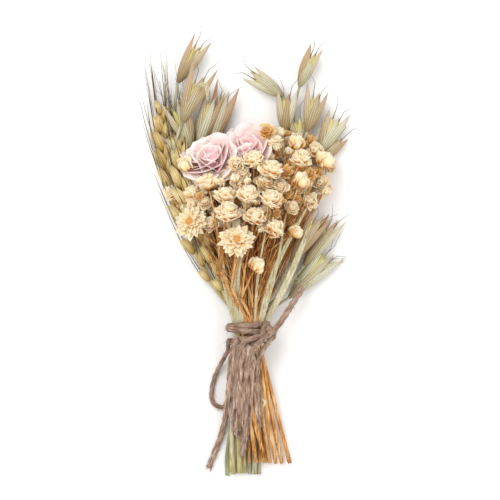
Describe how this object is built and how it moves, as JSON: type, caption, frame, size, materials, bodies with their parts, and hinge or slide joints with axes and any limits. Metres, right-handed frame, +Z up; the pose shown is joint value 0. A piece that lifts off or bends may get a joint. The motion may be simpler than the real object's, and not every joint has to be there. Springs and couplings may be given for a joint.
{
  "type": "bunch of dried flowers",
  "caption": "Small bunch of dried cream and pink everlasting flowers, wheat and oats, bound with soft jute twine, lying on a surface.",
  "frame": {"origin": "on the resting surface, under the middle of the bunch's box, its free twine ends left out", "axes": "+Y along the bunch from the cut stem ends to the heads, +X across it, +Z up from the surface"},
  "size_m": [0.0932, 0.2214, 0.0421],
  "materials": {
    "cream_petals": "matt, dry papery bracts, cream to warm straw",
    "pink_petals": "matt, papery petals, pale pink with deeper rose edges",
    "wheat_straw": "satin dry straw and husks, golden olive",
    "oat_husk": "satin, finely veined papery husks, grey-green to tan",
    "oat_straw": "satin dry straw, grey-green",
    "golden_stem": "satin dry stems, orange gold",
    "dry_leaf": "matt dry grass leaf, grey-green",
    "jute_twine": "matt soft jute with loose fibres, mauve brown"
  },
  "bodies": {
    "root": {"wheat_stalk_1": "wheat_straw", "wheat_stalk_2": "wheat_straw", "wheat_stalk_3": "wheat_straw", "cream_stem_1": "golden_stem", "cream_stem_2": "golden_stem", "cream_stem_3": "golden_stem", "cream_stem_4": "golden_stem", "cream_stem_5": "golden_stem", "cream_stem_6": "golden_stem", "cream_stem_7": "golden_stem", "pink_stem_1": "golden_stem", "pink_stem_2": "golden_stem", "oat_stem_1": "oat_straw", "oat_stem_2": "oat_straw", "oat_stem_3": "oat_straw", "oat_stem_4": "oat_straw", "cream_head_01": "cream_petals", "cream_head_02": "cream_petals", "cream_head_03": "cream_petals", "cream_head_04": "cream_petals", "cream_head_05": "cream_petals", "cream_head_06": "cream_petals", "cream_head_07": "cream_petals", "cream_head_08": "cream_petals", "cream_head_09": "cream_petals", "cream_head_10": "cream_petals", "cream_head_11": "cream_petals", "cream_head_12": "cream_petals", "cream_head_13": "cream_petals", "cream_head_14": "cream_petals", "cream_head_15": "cream_petals", "cream_head_16": "cream_petals", "cream_head_17": "cream_petals", "cream_head_18": "cream_petals", "cream_head_19": "cream_petals", "cream_head_20": "cream_petals", "cream_head_21": "cream_petals", "pink_head_1": "pink_petals", "pink_head_2": "pink_petals", "oat_spikelet_01": "oat_husk", "oat_spikelet_02": "oat_husk", "oat_spikelet_03": "oat_husk", "oat_spikelet_04": "oat_husk", "oat_spikelet_05": "oat_husk", "oat_spikelet_06": "oat_husk", "oat_spikelet_07": "oat_husk", "oat_spikelet_08": "oat_husk", "oat_spikelet_09": "oat_husk", "oat_spikelet_10": "oat_husk", "oat_spikelet_11": "oat_husk", "oat_spikelet_12": "oat_husk", "oat_spikelet_13": "oat_husk", "grass_leaf": "dry_leaf", "twine_wrap": "jute_twine", "twine_knot": "jute_twine", "twine_loop_left": "jute_twine", "twine_tail_left": "jute_twine", "twine_loop_front": "jute_twine", "twine_tail_front": "jute_twine", "twine_tail_right": "jute_twine"}
  },
  "joints": []
}
